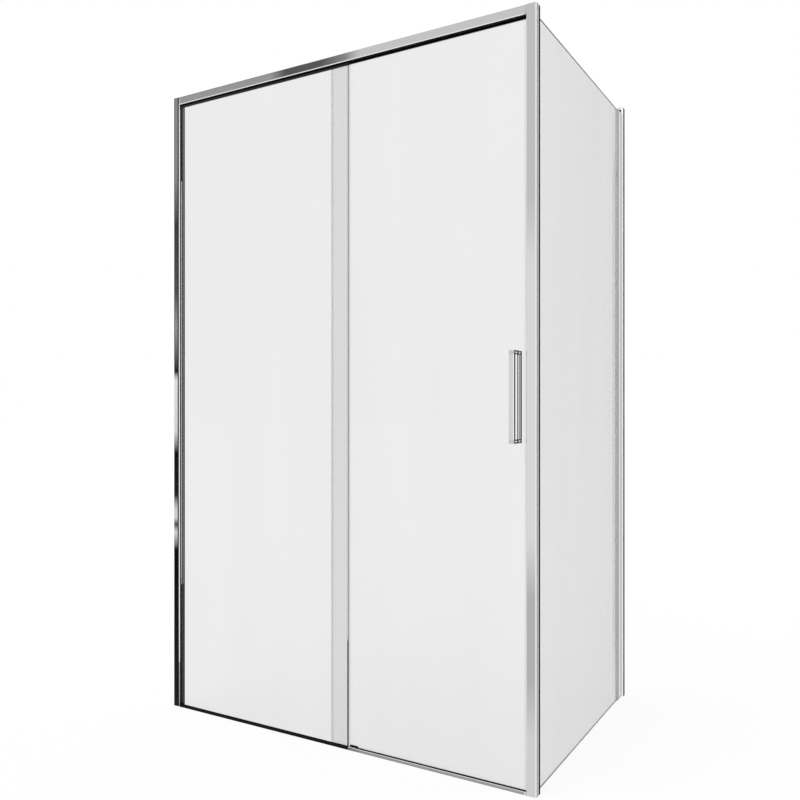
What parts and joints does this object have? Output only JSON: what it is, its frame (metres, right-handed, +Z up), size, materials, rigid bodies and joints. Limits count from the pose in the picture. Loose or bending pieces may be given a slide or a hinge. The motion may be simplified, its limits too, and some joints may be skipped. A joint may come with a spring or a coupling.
{
  "type": "shower enclosure",
  "caption": "Corner shower enclosure with a clear fixed pane, a sliding glass door with a slim upright handle, a glass return pane and a slim bright metal frame.",
  "frame": {"origin": "middle of the footprint, on the shower tray's surface", "axes": "+X along the front from the left wall to the glass corner, +Y from the front to the back wall, +Z up"},
  "size_m": [1.195, 0.8354, 1.9],
  "materials": {
    "bright_metal": "bright polished",
    "bright_plastic": "bright plated",
    "glass": "clear toughened",
    "black_rubber": "matt",
    "black_plastic": "satin",
    "clear_plastic": "clear",
    "steel": "bright",
    "white_plastic": "satin"
  },
  "bodies": {
    "frame": {"left_wall_channel": "bright_metal", "left_jamb": "bright_metal", "corner_post": "bright_metal", "top_rail": "bright_metal", "bottom_sill": "bright_metal", "side_jamb": "bright_metal", "side_wall_channel": "bright_metal", "left_cap": "bright_plastic", "post_cap": "bright_plastic", "side_cap": "bright_plastic", "jamb_screw_covers": "bright_plastic", "side_screw_covers": "bright_plastic", "fixed_pane": "glass", "side_pane": "glass", "fixed_gasket_side": "black_rubber", "fixed_gasket_top": "black_rubber", "fixed_gasket_foot": "black_rubber", "side_gasket_post": "black_rubber", "track_stop_open": "black_rubber", "track_stop_shut": "black_rubber", "rail_filler": "black_plastic", "sill_filler": "black_plastic", "door_guide": "black_plastic", "rail_plug_left": "black_plastic", "rail_plug_right": "black_plastic", "fixed_edge_seal": "clear_plastic", "side_foot_strip": "clear_plastic", "jamb_screws": "steel", "side_jamb_screws": "steel", "rail_plug_screws": "steel", "door_guide_screws": "steel", "post_magnet": "white_plastic", "side_gasket_jamb": "white_plastic"},
    "door": {"door_pane": "glass", "door_head_profile": "bright_metal", "door_magnet_seal": "clear_plastic", "door_magnet": "white_plastic", "door_overlap_seal": "clear_plastic", "door_wiper": "clear_plastic", "carriage_left": "black_plastic", "carriage_right": "black_plastic", "carriage_screws": "steel", "wheel_axles": "steel", "handle_blade": "bright_metal", "handle_caps": "black_plastic", "handle_inlays": "black_rubber", "handle_cap_trims": "bright_plastic", "handle_gasket": "black_rubber", "handle_sleeves": "clear_plastic", "handle_washers": "steel", "handle_screws": "steel"},
    "wheel_1": {"wheel_tyre_1": "white_plastic", "wheel_bearing_1": "steel"},
    "wheel_2": {"wheel_tyre_2": "white_plastic", "wheel_bearing_2": "steel"},
    "wheel_3": {"wheel_tyre_3": "white_plastic", "wheel_bearing_3": "steel"},
    "wheel_4": {"wheel_tyre_4": "white_plastic", "wheel_bearing_4": "steel"}
  },
  "joints": [
    {"name": "door_slide", "type": "slide", "parent": "frame", "child": "door", "axis": [-1, 0, 0], "range_m": [0, 0.475]},
    {"name": "wheel_spin_1", "type": "hinge", "parent": "door", "child": "wheel_1", "pos_m": [0.0475, -0.3599, 1.8882], "axis": [0, -1, 0], "continuous": true},
    {"name": "wheel_spin_2", "type": "hinge", "parent": "door", "child": "wheel_2", "pos_m": [0.0815, -0.3599, 1.8882], "axis": [0, -1, 0], "continuous": true},
    {"name": "wheel_spin_3", "type": "hinge", "parent": "door", "child": "wheel_3", "pos_m": [0.4815, -0.3599, 1.8882], "axis": [0, -1, 0], "continuous": true},
    {"name": "wheel_spin_4", "type": "hinge", "parent": "door", "child": "wheel_4", "pos_m": [0.5155, -0.3599, 1.8882], "axis": [0, -1, 0], "continuous": true}
  ],
  "couplings": [
    {"joint": "wheel_spin_1", "follows": "door_slide", "rad_per_m": 125},
    {"joint": "wheel_spin_2", "follows": "door_slide", "rad_per_m": 125},
    {"joint": "wheel_spin_3", "follows": "door_slide", "rad_per_m": 125},
    {"joint": "wheel_spin_4", "follows": "door_slide", "rad_per_m": 125}
  ]
}
